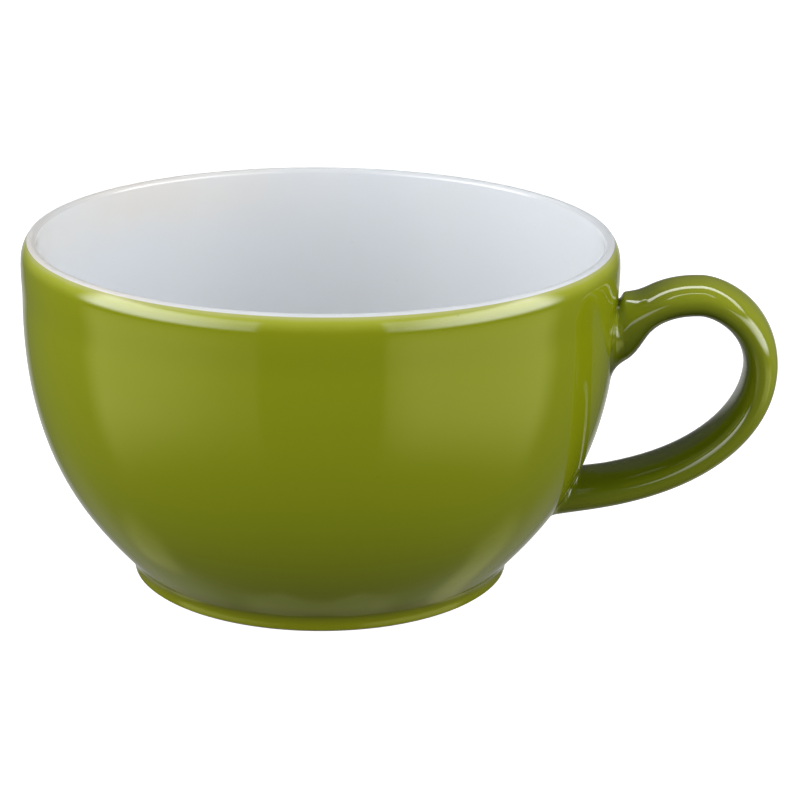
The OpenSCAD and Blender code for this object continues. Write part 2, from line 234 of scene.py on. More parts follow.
class BowlOutline:
    """The turned outlines of the bowl and its foot, as radius and height."""

    WALL_STEPS = 100
    INNER_STEPS = 110
    LIP_STEPS = 24
    COVE_STEPS = 14
    COAT_EDGE_STEPS = 7

    def __init__(self, b):
        self.b = b
        rim = b.rim_r - b.rim_flare_w
        wall = bezier([
            [rim, b.rim_h],
            [rim + b.belly_w, b.rim_h - b.belly_h],
            np.array([b.tuck_r, b.tuck_h]) + polar(b.tuck_l, b.tuck_slope),
            [b.tuck_r, b.tuck_h],
        ], np.linspace(0, 1, self.WALL_STEPS))
        wall[:, 0] += b.rim_flare_w * ease(1 - (b.rim_h - wall[:, 1]) / b.rim_flare_h)
        self.wall = wall
        self.wall_normals = line_normals(wall)
        n = self.wall_normals[0]
        self.shoulder_centre = wall[0] - b.shoulder_r * n
        self.shoulder_angle = math.atan2(n[1], n[0])
        self.lip_centre = self.shoulder_centre + polar(b.shoulder_r - b.lip_round_r, b.lip_edge_angle)
        inner_top = self.lip_centre - [b.lip_round_r, 0]
        self.inner = bezier([
            inner_top,
            inner_top + [b.inner_w, -b.inner_h],
            [b.floor_half_w, b.floor_h],
            [0, b.floor_h],
        ], np.linspace(0, 1, self.INNER_STEPS))
        self.inner_normals = line_normals(self.inner)
        n = self.wall_normals[-1]
        self.cove_centre = wall[-1] + b.cove_r * n
        self.cove_angle = math.atan2(-n[1], -n[0]) % (2 * math.pi)
        self.foot_r = self.cove_centre[0] - b.cove_r
        self.clay_foot_r = self.foot_r - b.glaze_t
        self.foot_inner_r = self.clay_foot_r - b.foot_w
        self.base_z = (wall[-1] - b.glaze_t * n)[1]
        self.outside = self.outside_at_depth(0)

    def lip(self, depth):
        """The lip, from its inner side over the top to its edge."""
        edge = self.b.lip_edge_angle
        return arc(self.lip_centre, self.b.lip_round_r - depth, math.pi, edge, self.LIP_STEPS)

    def outside_at_depth(self, depth):
        """The outside, from the lip's edge over the shoulder and down the wall."""
        edge = self.b.lip_edge_angle
        r = self.b.shoulder_r - depth
        shoulder = arc(self.shoulder_centre, r, edge, self.shoulder_angle, self.LIP_STEPS)
        return np.concatenate([shoulder, self.wall_at_depth(depth)[1:]])

    def wall_at_depth(self, depth):
        """The wall's outside, moved into the clay."""
        return self.wall - depth * self.wall_normals

    def inner_at_depth(self, depth):
        """The inside, moved into the clay."""
        line = self.inner + depth * self.inner_normals
        line[-1, 0] = 0
        return line

    def cove(self, depth):
        """The hollow round between the wall and the foot, moved into the clay."""
        return arc(self.cove_centre, self.b.cove_r + depth, self.cove_angle, math.pi, self.COVE_STEPS)

    def coat_edge(self, outer_r):
        """The rounded lower end of a coat on the foot, from its outer radius inwards."""
        half = self.b.glaze_t / 2
        return arc([outer_r - half, self.b.foot_edge_r + half], half, 0, -math.pi, self.COAT_EDGE_STEPS)

    def radius(self, z):
        """Outside radius at a height."""
        return np.interp(z, self.outside[::-1, 1], self.outside[::-1, 0])


class Strap:
    """The handle's surface: a point for each place s along it and each angle round its section.

    The place is 0 at the upper root, 1 at the crest, 2 where the strap is farthest out and 3 at the tail.
    """

    SIDES = 96
    ROWS = 220
    INNER_ROWS = 73
    SLIP_ROWS = 14
    LEAD_ROWS = 8
    SOFTENINGS = 20
    TAIL_END = 3
    MEETING_STEPS = 3
    BACK_STEP = 0.01

    def __init__(self, h, bowl):
        self.h = h
        self.bowl = bowl
        self.angles = np.linspace(0, 2 * math.pi, self.SIDES, endpoint=False)
        b = bowl.b
        root_z = b.rim_h - h.root_drop_h
        root = np.array([bowl.radius(root_z) - h.root_sink_l, root_z])
        crest = np.array([b.rim_r + h.crest_out_l, b.rim_h - h.crest_drop_h])
        far = np.array([b.rim_r + h.far_out_l, b.rim_h - h.far_drop_h])
        tail = np.array([bowl.radius(h.tail_z) - h.tail_sink_l, h.tail_z])
        run = crest[0] - root[0]
        self.curves = [
            [root, root + polar(h.root_hold * run, h.root_slope),
             crest - [h.crest_hold_in * run, 0], crest],
            [crest, crest + [h.crest_hold_out * (far - crest)[0], 0],
             far + [0, h.far_hold_in * (crest - far)[1]], far],
            [far, far - [0, h.far_hold_out * (far - tail)[1]],
             tail + polar(h.tail_hold * (far - tail)[0], h.tail_slope), tail],
        ]

    def stretch(self, s):
        """Which of the three curves the places s are on."""
        return np.clip(np.floor(s), 0, self.TAIL_END - 1).astype(int)

    def middle(self, s):
        """Points of the strap's middle line."""
        parts = np.stack([bezier(c, s - n) for n, c in enumerate(self.curves)])
        return np.take_along_axis(parts, self.stretch(s)[None, ..., None], 0)[0]

    def half_t(self, s):
        """Half the strap's thickness, with the spread at both roots."""
        h = self.h
        k = self.stretch(s)
        knots = np.array([h.neck_t, h.strap_t, h.strap_t, h.tail_t]) / 2
        plain = knots[k] + (knots[k + 1] - knots[k]) * ease(s - k)
        way = (s - h.root_seat) / (h.root_spread_share - h.root_seat)
        root = h.root_spread_t / 2 * (1 - ease(way))
        into_tail = (s - self.TAIL_END + h.tail_spread_share) / h.tail_spread_share
        return plain + root + h.tail_spread_t / 2 * np.clip(into_tail, 0, 1) ** 2

    def lean(self, s):
        """How far the sections at the places s lean from upright."""
        step = 1e-3
        d = self.middle(s + step) - self.middle(s - step)
        return np.arctan2(d[..., 1], d[..., 0]) * ease(np.minimum(s, 1))

    def points(self, s, depth=0):
        """One section of the strap, a full oval: a point for each angle."""
        lean = self.lean(s)
        n = np.stack([-np.sin(lean), np.cos(lean)], -1)
        power = 2 / self.h.fullness
        c, q = np.cos(self.angles), np.sin(self.angles)
        across = np.sign(c) * np.abs(c) ** power * (self.half_t(s) - depth)
        side = np.sign(q) * np.abs(q) ** power * (self.h.strap_w / 2 - depth)
        m = self.middle(s)
        return np.stack([m[..., 0] + across * n[..., 0], side, m[..., 1] + across * n[..., 1]], -1)

    def on_wall(self, y, z):
        """Points of the bowl's outside at a side distance and height."""
        return np.stack([np.sqrt(self.bowl.radius(z) ** 2 - y * y), y, z], -1)

    def meet_wall(self, p, d):
        """Where lines from the points p in the directions d meet the bowl's outside."""
        for _ in range(self.MEETING_STEPS):
            gap = p[:, 0] - self.on_wall(p[:, 1], p[:, 2])[:, 0]
            p = p - (gap / d[:, 0])[:, None] * d
        return self.on_wall(p[:, 1], p[:, 2])

    def slip(self, s, depth, radii):
        """Rows of a slip fillet: straight on from the section at s, then round on to the wall."""
        into_strap = self.BACK_STEP if s < 1 else -self.BACK_STEP
        ring = self.points(np.array([s]), depth)
        ahead = ring - self.points(np.array([s + into_strap]), depth)
        ahead /= np.linalg.norm(ahead, axis=1)[:, None]
        corner = self.meet_wall(ring, ahead)
        upright = 1 if math.cos(self.lean(np.array([s]))[0]) > 0 else -1
        out = np.stack([np.sin(self.angles), np.cos(self.angles) * upright], -1)
        top, side, under = radii
        r = np.where(out[:, 1] > 0, top, under) * out[:, 1] ** 2 + side * out[:, 0] ** 2 - depth
        way = np.linalg.norm(corner - ring, axis=1)
        start = corner - np.minimum(r, self.h.slip_stretch * way)[:, None] * ahead
        end = self.on_wall(*(corner[:, 1:] + r[:, None] * out).T)
        t = np.linspace(0, 1, self.SLIP_ROWS)[:, None, None]
        bend = (1 - t) ** 2 * start + 2 * t * (1 - t) * corner + t ** 2 * end
        t = np.linspace(0, 1, self.LEAD_ROWS)[1:-1, None, None]
        return np.concatenate([ring + t * (start - ring), bend])

    def skin(self, depth, rows):
        """Rows of points from the upper root's edge to the tail's edge."""
        h = self.h
        first = h.root_seat
        last = self.TAIL_END - 1 + h.tail_seat
        body = np.stack([self.points(np.array([s]), depth) for s in np.linspace(first, last, rows)])
        root = self.slip(first, depth, (h.root_slip_top_r, h.root_slip_side_r, h.root_slip_under_r))
        tail = self.slip(last, depth, (h.tail_slip_top_r, h.tail_slip_side_r, h.tail_slip_under_r))
        return self.soften(np.concatenate([root[::-1], body, tail]))

    def soften(self, lines):
        """Lines with their corners eased, both ends kept."""
        for _ in range(self.SOFTENINGS):
            step = np.linalg.norm(np.diff(lines, axis=0), axis=-1)[..., None]
            before, after = step[:-1], step[1:]
            between = (lines[:-2] * after + lines[2:] * before) / (before + after)
            lines[1:-1] += 0.5 * (between - lines[1:-1])
        return lines


# Meshes


def face_outwards(mesh):
    """Flip the faces of a closed mesh that look into it."""
    shell = bmesh.new()
    shell.from_mesh(mesh)
    if shell.calc_volume(signed=True) < 0:
        mesh.flip_normals()
    shell.free()


def add_piece(name, verts, faces, material, sharp=35):
    """A smooth-shaded mesh object, with sharp edges where faces turn by more than an angle in degrees."""
    mesh = bpy.data.meshes.new(name)
    mesh.from_pydata([tuple(v) for v in verts], [], [tuple(f) for f in faces])
    mesh.validate()
    face_outwards(mesh)
    mesh.shade_smooth()
    mesh.set_sharp_from_angle(angle=math.radians(sharp))
    mesh.materials.append(material)
    piece = bpy.data.objects.new(name, mesh)
    bpy.context.scene.collection.objects.link(piece)
    return piece


def turned_mesh(outline, segments):
    """Vertices and faces of a closed outline turned about the axis. Ends on the axis become poles."""
    verts, rows = [], []
    turn = np.linspace(0, 2 * math.pi, segments, endpoint=False)
    for r, z in outline:
        if r < ON_AXIS:
            rows.append([len(verts)] * segments)
            verts.append((0.0, 0.0, z))
        else:
            rows.append(list(range(len(verts), len(verts) + segments)))
            verts.extend((r * math.cos(a), r * math.sin(a), z) for a in turn)
    faces = []
    open_ends = outline[0][0] < ON_AXIS and outline[-1][0] < ON_AXIS
    pairs = list(zip(rows, rows[1:])) + ([] if open_ends else [(rows[-1], rows[0])])
    for upper, lower in pairs:
        for i in range(segments):
            j = (i + 1) % segments
            face = [upper[i], upper[j], lower[j], lower[i]]
            face = [v for n, v in enumerate(face) if v not in face[:n]]
            if len(face) > 2:
                faces.append(face)
    return verts, faces


def tube_faces(rows, sides, first, flip):
    """Faces of a skin through rows of points."""
    faces = []
    for k in range(rows - 1):
        for i in range(sides):
            j = (i + 1) % sides
            a, b = first + k * sides + i, first + k * sides + j
            face = [a, a + sides, b + sides, b]
            faces.append(face[::-1] if flip else face)
    return faces


# Materials

# How fine the unevenness of each kind is, in waves per metre
WAVER_SCALE = 160.0
CLOUD_SCALE = 45.0
PINHOLE_SCALE = 330.0
GLOSS_SCALE = 90.0
RIPPLE_SCALE = 70.0
FINE_RIPPLE_SCALE = 420.0
GRAIN_SCALE = 900.0
RUB_SCALE = 60.0
FLOOR_SCALE = 3.0

# The pinholes: how large each is in its cell, and from which chance on a cell has one
PINHOLE_EDGE = 0.10
PINHOLE_CORE = 0.04
PINHOLE_NONE = 0.80
PINHOLE_FULL = 0.95

# The glazes' skin: the least share of its roughness, how deep the ripples are, and how it bends light
EVEN_GLOSS = 0.75
FINE_RIPPLE = 0.12
GREEN_RIPPLE = 0.012 * MM
WHITE_RIPPLE = 0.015 * MM
GLAZE_IOR = 1.5

# The clouds and specks in each glaze. The warm clouds inside are strongest from the reach below, as a share
# of the rim's radius, to the left on, and above their band's depth divided by the fade below.
GREEN_CLOUDING = 0.16
GREEN_SPECKS = 0.35
WHITE_CLOUDING = 0.12
WHITE_SPECKS = 0.25
WARM_CLOUD_REACH = 0.6
WARM_CLOUD_FADE = 4

# How far the edges of the bands waver
BAND_WAVER = 0.5 * MM
CREAM_WAVER = 0.3 * MM
LIP_WAVER = 0.2 * MM
WARM_CLOUD_WAVER = 5 * MM

# The bare clay's grain
GRAIN_DEPTH = 0.06 * MM
GRAIN_STRENGTH = 0.6
SMOOTH_CLAY = 0.9
ROUGH_GRAIN = 0.2


def new_group(name, inputs, outputs):
    """An empty shader node group with its sockets. Returns the group and its two end nodes."""
    group = bpy.data.node_groups.new(name, "ShaderNodeTree")
    for label, kind, value in inputs:
        socket = group.interface.new_socket(label, in_out="INPUT", socket_type=kind)
        socket.default_value = value
    for label, kind in outputs:
        group.interface.new_socket(label, in_out="OUTPUT", socket_type=kind)
    return group, group.nodes.new("NodeGroupInput"), group.nodes.new("NodeGroupOutput")


def feed(tree, made, inputs):
    """Link each of a node's inputs to its source, or set its value."""
    for key, value in inputs.items():
        if isinstance(value, bpy.types.NodeSocket):
            tree.links.new(value, made.inputs[key])
        else:
            made.inputs[key].default_value = value


def node(tree, kind, inputs=None, **values):
    """A node with its inputs and properties set."""
    made = tree.nodes.new(kind)
    for key, value in values.items():
        setattr(made, key, value)
    feed(tree, made, inputs or {})
    return made


def math_node(tree, operation, a, b=None, clamp=False):
    """A Math node fed by sockets or numbers."""
    inputs = {0: a} if b is None else {0: a, 1: b}
    return node(tree, "ShaderNodeMath", inputs, operation=operation, use_clamp=clamp).outputs[0]


def times(tree, a, b, clamp=False):
    """The product of sockets or numbers."""
    return math_node(tree, "MULTIPLY", a, b, clamp)


def plus(tree, a, b):
    """The sum of sockets or numbers."""
    return math_node(tree, "ADD", a, b)


def mix_colour(tree, factor, a, b):
    """A colour mix fed by sockets or colours."""
    made = node(tree, "ShaderNodeMix", data_type="RGBA")
    for name, kind, value in (("Factor", "VALUE", factor), ("A", "RGBA", a), ("B", "RGBA", b)):
        place = next(n for n, s in enumerate(made.inputs) if s.name == name and s.type == kind)
        feed(tree, made, {place: value})
    return next(s for s in made.outputs if s.type == "RGBA")


def ramp(tree, value, start, end, low=0, high=1):
    """A smooth change from the low to the high end."""
    inputs = {"Value": value, "From Min": start, "From Max": end, "To Min": low, "To Max": high}
    return node(tree, "ShaderNodeMapRange", inputs, interpolation_type="SMOOTHSTEP").outputs[0]


def own_place(tree):
    """The piece's own coordinates."""
    return node(tree, "ShaderNodeTexCoord").outputs["Object"]


def surface_noise(tree, scale, detail=2.0, rough=0.5):
    """Noise over the piece's own coordinates, from 0 to 1."""
    inputs = {"Scale": scale, "Detail": detail, "Roughness": rough, "Vector": own_place(tree)}
    return node(tree, "ShaderNodeTexNoise", inputs).outputs["Fac"]


def band_mask_group():
    """Mask that rises from 0 to 1 between two heights on the piece."""
    group, inputs, outputs = new_group(
        "height_band",
        [("From Height", "NodeSocketFloat", 0.0), ("To Height", "NodeSocketFloat", 1.0),
         ("Waver", "NodeSocketFloat", 0.0)],
        [("Mask", "NodeSocketFloat")])
    split = node(group, "ShaderNodeSeparateXYZ", {0: own_place(group)})
    waver = math_node(group, "SUBTRACT", surface_noise(group, WAVER_SCALE), 0.5)
    height = plus(group, split.outputs["Z"], times(group, waver, inputs.outputs["Waver"]))
    mask = ramp(group, height, inputs.outputs["From Height"], inputs.outputs["To Height"])
    feed(group, outputs, {"Mask": mask})
    return group


def glaze_skin_group():
    """The fired skin of a glaze: faint clouding, pinholes, gloss that varies, and a gentle ripple."""
    group, inputs, outputs = new_group(
        "fired_glaze",
        [("Color", "NodeSocketColor", (1, 1, 1, 1)), ("Cloud Color", "NodeSocketColor", (1, 1, 1, 1)),
         ("Clouding", "NodeSocketFloat", 0.3), ("Speck Color", "NodeSocketColor", (0, 0, 0, 1)),
         ("Specks", "NodeSocketFloat", 0.3), ("Roughness", "NodeSocketFloat", 0.05)],
        [("Color", "NodeSocketColor"), ("Roughness", "NodeSocketFloat"), ("Ripple", "NodeSocketFloat")])
    given = inputs.outputs
    cloud = times(group, surface_noise(group, CLOUD_SCALE, 3.0, 0.55), given["Clouding"], clamp=True)
    tinted = mix_colour(group, cloud, given["Color"], given["Cloud Color"])
    spread = {"Scale": PINHOLE_SCALE, "Vector": own_place(group)}
    cells = node(group, "ShaderNodeTexVoronoi", spread, feature="F1")
    hole = ramp(group, cells.outputs["Distance"], PINHOLE_EDGE, PINHOLE_CORE)
    chance = node(group, "ShaderNodeSeparateColor", {0: cells.outputs["Color"]}).outputs[0]
    limits = {"Value": chance, "From Min": PINHOLE_NONE, "From Max": PINHOLE_FULL}
    rare = node(group, "ShaderNodeMapRange", limits).outputs[0]
    speck = times(group, times(group, hole, rare), given["Specks"], clamp=True)
    uneven = plus(group, times(group, surface_noise(group, GLOSS_SCALE), 0.5), EVEN_GLOSS)
    fine = times(group, surface_noise(group, FINE_RIPPLE_SCALE, 1.0), FINE_RIPPLE)
    feed(group, outputs, {
        "Color": mix_colour(group, speck, tinted, given["Speck Color"]),
        "Roughness": times(group, uneven, given["Roughness"]),
        "Ripple": plus(group, surface_noise(group, RIPPLE_SCALE, 1.0), fine),
    })
    return group


def use_group(tree, group, **values):
    """A group node with its inputs set; names use an underscore for a space."""
    inputs = {key.replace("_", " "): value for key, value in values.items()}
    made = node(tree, "ShaderNodeGroup", node_tree=group)
    feed(tree, made, inputs)
    return made


def new_material(name):
    """A material with an empty Principled BSDF. Returns material, tree and shader."""
    material = bpy.data.materials.new(name)
    material.use_nodes = True
    shader = material.node_tree.nodes["Principled BSDF"]
    return material, material.node_tree, shader


def rgba(c):
    """A colour without transparency."""
    return (c[0], c[1], c[2], 1.0)


def add_bump(tree, shader, height, distance, strength=1.0):
    """Let a value raise and lower the surface."""
    bump = node(tree, "ShaderNodeBump", {"Strength": strength, "Distance": distance, "Height": height})
    feed(tree, shader, {"Normal": bump.outputs["Normal"]})


def get_group(name, build):
    """The shader group of a name, built at its first use."""
    return bpy.data.node_groups.get(name) or build()


def finish_glaze(tree, shader, fired, rough, ripple):
    """Lead a fired skin into the material's shader."""
    feed(tree, shader, {"Base Color": fired.outputs["Color"], "Roughness": rough, "IOR": GLAZE_IOR})
    add_bump(tree, shader, fired.outputs["Ripple"], ripple)


def green_glaze():
    """Glossy lime green: lighter where it thins out and darker just above the foot, with painted shade on
    the strap's inner side and painted light on its outer side.
    """
    if "fired_green" in bpy.data.materials:
        return bpy.data.materials["fired_green"]
    bowl, _, looks, _ = settings()
    material, tree, shader = new_material("fired_green")
    band = get_group("height_band", band_mask_group)
    skin = get_group("fired_glaze", glaze_skin_group)
    edge = BowlOutline(bowl).outside[0, 1]
    thin = use_group(tree, band, From_Height=edge - looks.thin_h, To_Height=edge, Waver=BAND_WAVER)
    bare = use_group(tree, band, From_Height=edge - looks.cream_h, To_Height=edge, Waver=CREAM_WAVER)
    # The green turns darker towards the foot
    dark_band = use_group(tree, band, From_Height=bowl.tuck_h + looks.dark_band_h,
                     To_Height=bowl.tuck_h, Waver=BAND_WAVER)
    # The strap's painted shade on its inner side and painted light on its outer side, set as point values
    # by the handle coat
    inner_side = node(tree, "ShaderNodeAttribute", attribute_name="painted_shade")
    outer_side = node(tree, "ShaderNodeAttribute", attribute_name="painted_light")
    layers = (
        # Darker green over the band just above the foot
        (dark_band.outputs["Mask"], looks.green_dark),
        # Painted shade on the strap's inner side
        (inner_side.outputs["Fac"], looks.green_painted_shade),
        # Painted light on the strap's outer side, in the thin glaze's colour
        (outer_side.outputs["Fac"], looks.green_thin),
        (thin.outputs["Mask"], looks.green_thin),
        (bare.outputs["Mask"], looks.cream),
    )
    base = rgba(looks.green)
    for mask, tone in layers:
        base = mix_colour(tree, mask, base, rgba(tone))
    fired = use_group(tree, skin, Color=base, Roughness=looks.gloss_rough,
                      Cloud_Color=rgba(looks.green_dark), Clouding=GREEN_CLOUDING,
                      Speck_Color=rgba(looks.green_dark), Specks=GREEN_SPECKS)
    finish_glaze(tree, shader, fired, fired.outputs["Roughness"], GREEN_RIPPLE)
    return material


def white_glaze():
    """Glossy cool white, duller on the lip, with faint warm clouds, more of them on the left of the inside
    below the lip.
    """
    if "fired_white" in bpy.data.materials:
        return bpy.data.materials["fired_white"]
    bowl, _, looks, _ = settings()
    material, tree, shader = new_material("fired_white")
    band = get_group("height_band", band_mask_group)
    skin = get_group("fired_glaze", glaze_skin_group)
    top = BowlOutline(bowl).lip(0)[:, 1].max()
    lip = use_group(tree, band, From_Height=top - looks.dull_lip_h, To_Height=top, Waver=LIP_WAVER)
    # Warmer clouds on the left of the inside, in a band below the lip
    warm_band = use_group(tree, band, From_Height=top - looks.warm_cloud_h,
                     To_Height=top - looks.warm_cloud_h / WARM_CLOUD_FADE, Waver=WARM_CLOUD_WAVER)
    split = node(tree, "ShaderNodeSeparateXYZ", {0: own_place(tree)})
    left = times(tree, split.outputs["X"], -1 / (bowl.rim_r * WARM_CLOUD_REACH), clamp=True)
    warm_cloud = times(tree, times(tree, warm_band.outputs["Mask"], left), looks.warm_cloud)
    clouding = plus(tree, warm_cloud, WHITE_CLOUDING)
    fired = use_group(tree, skin, Color=rgba(looks.white), Roughness=looks.gloss_rough,
                      Cloud_Color=rgba(looks.white_warm), Clouding=clouding,
                      Speck_Color=rgba(looks.clay), Specks=WHITE_SPECKS)
    dull = times(tree, lip.outputs["Mask"], looks.lip_rough)
    rough = math_node(tree, "MAXIMUM", fired.outputs["Roughness"], dull)
    finish_glaze(tree, shader, fired, rough, WHITE_RIPPLE)
    return material


def bare_clay():
    """Matte fired clay with fine grog and rubbed patches."""
    if "fired_clay" in bpy.data.materials:
        return bpy.data.materials["fired_clay"]
    _, _, looks, _ = settings()
    material, tree, shader = new_material("fired_clay")
    grain = surface_noise(tree, GRAIN_SCALE, 4.0, 0.6)
    patches = times(tree, surface_noise(tree, RUB_SCALE), 0.5)
    rubbed = times(tree, plus(tree, grain, patches), 0.5, clamp=True)
    rough = plus(tree, times(tree, grain, ROUGH_GRAIN), SMOOTH_CLAY)
    feed(tree, shader, {
        "Base Color": mix_colour(tree, rubbed, rgba(looks.clay), rgba(looks.clay_dark)),
        "Roughness": times(tree, rough, looks.clay_rough, clamp=True),
    })
    add_bump(tree, shader, grain, GRAIN_DEPTH, GRAIN_STRENGTH)
    return material


# Operators

TURN_SEGMENTS = 320
RING_EDGE_STEPS = 8
BASE_CORNER_STEPS = 12
LINER_BACK_SKIP = 3


class CUP_OT_clay(bpy.types.Operator):
    """Give the clay pieces inside the glaze their matte finish"""

    bl_idname = "cup.clay"
    bl_label = "Clay pieces"

    def execute(self, context):
        clay = bare_clay()
        for name in ("bowl", "handle", "upper_slip_joint", "lower_slip_joint"):
            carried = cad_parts[name]
            for place in range(max(1, len(carried.material_slots))):
                if carried.material_slots:
                    carried.material_slots[place].material = clay
                else:
                    carried.data.materials.append(clay)
        return {"FINISHED"}


class CUP_OT_foot(bpy.types.Operator):
    """Turn the clay foot ring with its bare, rubbed resting face"""

    bl_idname = "cup.foot"
    bl_label = "Foot ring"

    def execute(self, context):
        b = settings()[0]
        o = BowlOutline(b)
        e = b.foot_edge_r
        outline = np.concatenate([
            o.cove(b.glaze_t),
            arc([o.clay_foot_r - e, e], e, 0, -math.pi / 2, RING_EDGE_STEPS),
            arc([o.foot_inner_r + e, e], e, 3 * math.pi / 2, math.pi, RING_EDGE_STEPS),
            [[o.foot_inner_r, o.base_z]],
        ])
        piece = add_piece("foot_ring_turned", *turned_mesh(outline, TURN_SEGMENTS), bare_clay())
        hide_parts("foot_ring")
        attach(piece, "root")
        return {"FINISHED"}


class CUP_OT_green_coat(bpy.types.Operator):
    """Coat the outside of the bowl and its foot with green glaze, up to the lip"""

    bl_idname = "cup.green_coat"
    bl_label = "Green coat"

    def execute(self, context):
        b = settings()[0]
        o = BowlOutline(b)
        t = b.glaze_t
        outline = np.concatenate([
            o.outside,
            o.cove(0)[1:],
            o.coat_edge(o.foot_r),
            o.cove(t)[::-1],
            o.outside_at_depth(t)[::-1][1:],
        ])
        piece = add_piece("green_coat", *turned_mesh(outline, TURN_SEGMENTS), green_glaze())
        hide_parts("bowl_glaze", "foot_glaze")
        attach(piece, "root")
        return {"FINISHED"}


class CUP_OT_handle_coat(bpy.types.Operator):
    """Coat the strap handle and its slip joints with green glaze that runs out onto the wall"""

    bl_idname = "cup.handle_coat"
    bl_label = "Handle coat"

    SHARP_ABOVE = 60
    # Painted shade on the strap's inner side: how strong, and how much less at its very middle
    INNER_SHADE = 1.3
    INNER_SHADE_LESS_AT_CENTRE = 0.6
    # Painted light on the strap's outer side: how strong
    OUTER_LIGHT = 0.4

    def execute(self, context):
        b, h, _, _ = settings()
        strap = Strap(h, BowlOutline(b))
        outer = strap.skin(0, strap.ROWS)
        inner = strap.skin(b.glaze_t, strap.INNER_ROWS)
        sides = strap.SIDES
        faces = tube_faces(len(outer), sides, 0, True)
        shift = outer.shape[0] * sides
        faces += tube_faces(len(inner), sides, shift, False)
        last_outer = (len(outer) - 1) * sides
        last_inner = shift + (len(inner) - 1) * sides
        for i in range(sides):
            j = (i + 1) % sides
            faces.append([i, j, shift + j, shift + i])
            faces.append([last_outer + j, last_outer + i, last_inner + i, last_inner + j])
        verts = np.concatenate([outer.reshape(-1, 3), inner.reshape(-1, 3)])
        piece = add_piece("handle_coat", verts, faces, green_glaze(), self.SHARP_ABOVE)
        inwards = (1 - np.cos(strap.angles)) / 2
        # Painted shade, strongest towards the strap's inner side
        painted_shade = inwards * (self.INNER_SHADE - self.INNER_SHADE_LESS_AT_CENTRE * inwards ** 4)
        # Painted light, strongest on the strap's outer side
        painted_light = self.OUTER_LIGHT * (1 - inwards) ** 2
        rings = len(outer) + len(inner)
        for name, values in (("painted_shade", painted_shade), ("painted_light", painted_light)):
            attribute = piece.data.attributes.new(name, "FLOAT", "POINT")
            attribute.data.foreach_set("value", np.tile(values, rings))
        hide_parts("handle_glaze")
        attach(piece, "root")
        return {"FINISHED"}


class CUP_OT_white_liner(bpy.types.Operator):
    """Line the inside of the cup and the top of its lip with white glaze"""

    bl_idname = "cup.white_liner"
    bl_label = "White liner"

    def execute(self, context):
        b = settings()[0]
        o = BowlOutline(b)
        t = b.glaze_t
        outline = np.concatenate([
            o.inner_at_depth(t)[::-1][::LINER_BACK_SKIP],
            o.lip(t),
            o.lip(0)[::-1],
            o.inner[1:],
        ])
        outline[-1, 0] = 0
        piece = add_piece("white_liner", *turned_mesh(outline, TURN_SEGMENTS), white_glaze())
        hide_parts("liner_glaze")
        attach(piece, "root")
        return {"FINISHED"}


class CUP_OT_base_coat(bpy.types.Operator):
    """Coat the recessed underside with white glaze, down to the bare edge of the foot"""

    bl_idname = "cup.base_coat"
    bl_label = "Base coat"

    def execute(self, context):
        b = settings()[0]
        o = BowlOutline(b)
        t = b.glaze_t
        corner_r = b.cove_r / 2
        corner = [o.foot_inner_r - t - corner_r, o.base_z - t - corner_r]
        outline = np.concatenate([
            [[0, o.base_z]],
            [[o.foot_inner_r, o.base_z]],
            o.coat_edge(o.foot_inner_r),
            arc(corner, corner_r, 0, math.pi / 2, BASE_CORNER_STEPS),
            [[0, o.base_z - t]],
        ])
        piece = add_piece("base_coat", *turned_mesh(outline, TURN_SEGMENTS), white_glaze())
        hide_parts("base_glaze")
        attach(piece, "root")
        return {"FINISHED"}


